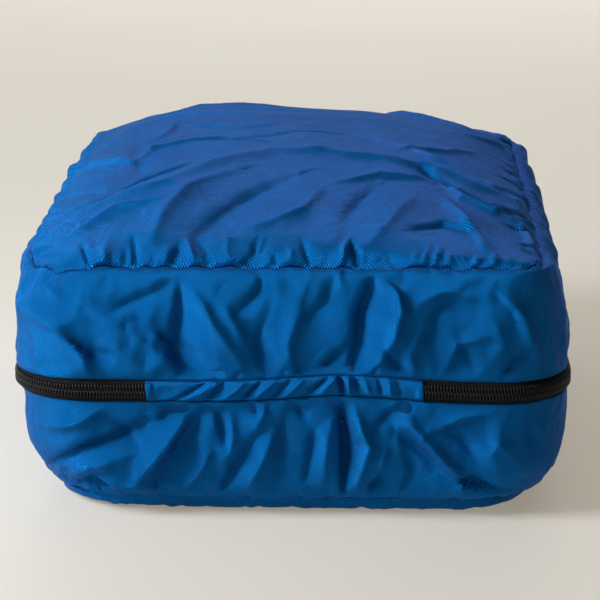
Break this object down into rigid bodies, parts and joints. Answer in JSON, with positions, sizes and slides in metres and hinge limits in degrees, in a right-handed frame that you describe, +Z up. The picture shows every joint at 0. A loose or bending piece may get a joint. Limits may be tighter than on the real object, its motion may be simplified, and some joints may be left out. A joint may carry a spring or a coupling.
{
  "type": "packing cube",
  "caption": "Soft zipped packing cube for luggage: a filled fabric box whose domed lid opens like a clamshell on a fabric hinge strip.",
  "frame": {"origin": "centre of the bottom panel's underside, on the surface that the cube rests on", "axes": "+Z up through the lid, -Y towards the front side with the hinge strip, +Y towards the sliders, +X to the right seen from the front"},
  "size_m": [0.2742, 0.3816, 0.163],
  "materials": {
    "nylon": "coated plain-weave nylon, bright blue, faint sheen",
    "zip_tape": "black woven polyester tape",
    "zip_coil": "black nylon coil",
    "binding_tape": "black grosgrain binding",
    "thread": "blue polyester thread",
    "slider_metal": "black painted zinc"
  },
  "bodies": {
    "base": {"bottom_panel": "nylon", "lower_gusset": "nylon", "lower_zip_tape": "zip_tape", "lower_zip_coil": "zip_coil", "hinge_strip": "nylon", "bottom_seam_binding": "binding_tape", "lower_zip_binding": "binding_tape", "bottom_seam_thread": "thread", "zip_end_stitch_left": "thread", "zip_end_stitch_right": "thread"},
    "lid": {"top_panel": "nylon", "upper_gusset": "nylon", "upper_zip_tape": "zip_tape", "upper_zip_coil": "zip_coil", "top_seam_binding": "binding_tape", "upper_zip_binding": "binding_tape", "top_seam_thread": "thread"},
    "slider_left": {"zip_slider_left": "slider_metal"},
    "link_left": {"pull_link_left": "slider_metal"},
    "pull_left": {"pull_tab_left": "slider_metal"},
    "slider_right": {"zip_slider_right": "slider_metal"},
    "link_right": {"pull_link_right": "slider_metal"},
    "pull_right": {"pull_tab_right": "slider_metal"}
  },
  "joints": [
    {"name": "lid_hinge", "type": "hinge", "parent": "base", "child": "lid", "pos_m": [0, -0.1885, 0.064], "axis": [1, 0, 0], "range_deg": [0, 162], "deforming": ["hinge_strip"]},
    {"name": "slider_left_travel", "type": "slide", "parent": "base", "child": "slider_left", "axis": [-1, 0, 0], "range_m": [0, 0.082]},
    {"name": "link_left_lift", "type": "hinge", "parent": "slider_left", "child": "link_left", "pos_m": [-0.0086, 0.192, 0.064], "axis": [1, 0, 0], "range_deg": [0, 150]},
    {"name": "pull_left_swing", "type": "hinge", "parent": "link_left", "child": "pull_left", "pos_m": [-0.0086, 0.192, 0.0541], "axis": [0, 1, 0], "range_deg": [-10, 40]},
    {"name": "slider_right_travel", "type": "slide", "parent": "base", "child": "slider_right", "axis": [1, 0, 0], "range_m": [0, 0.082]},
    {"name": "link_right_lift", "type": "hinge", "parent": "slider_right", "child": "link_right", "pos_m": [0.0086, 0.192, 0.064], "axis": [1, 0, 0], "range_deg": [0, 150]},
    {"name": "pull_right_swing", "type": "hinge", "parent": "link_right", "child": "pull_right", "pos_m": [0.0086, 0.192, 0.0541], "axis": [0, 1, 0], "range_deg": [-40, 10]}
  ]
}
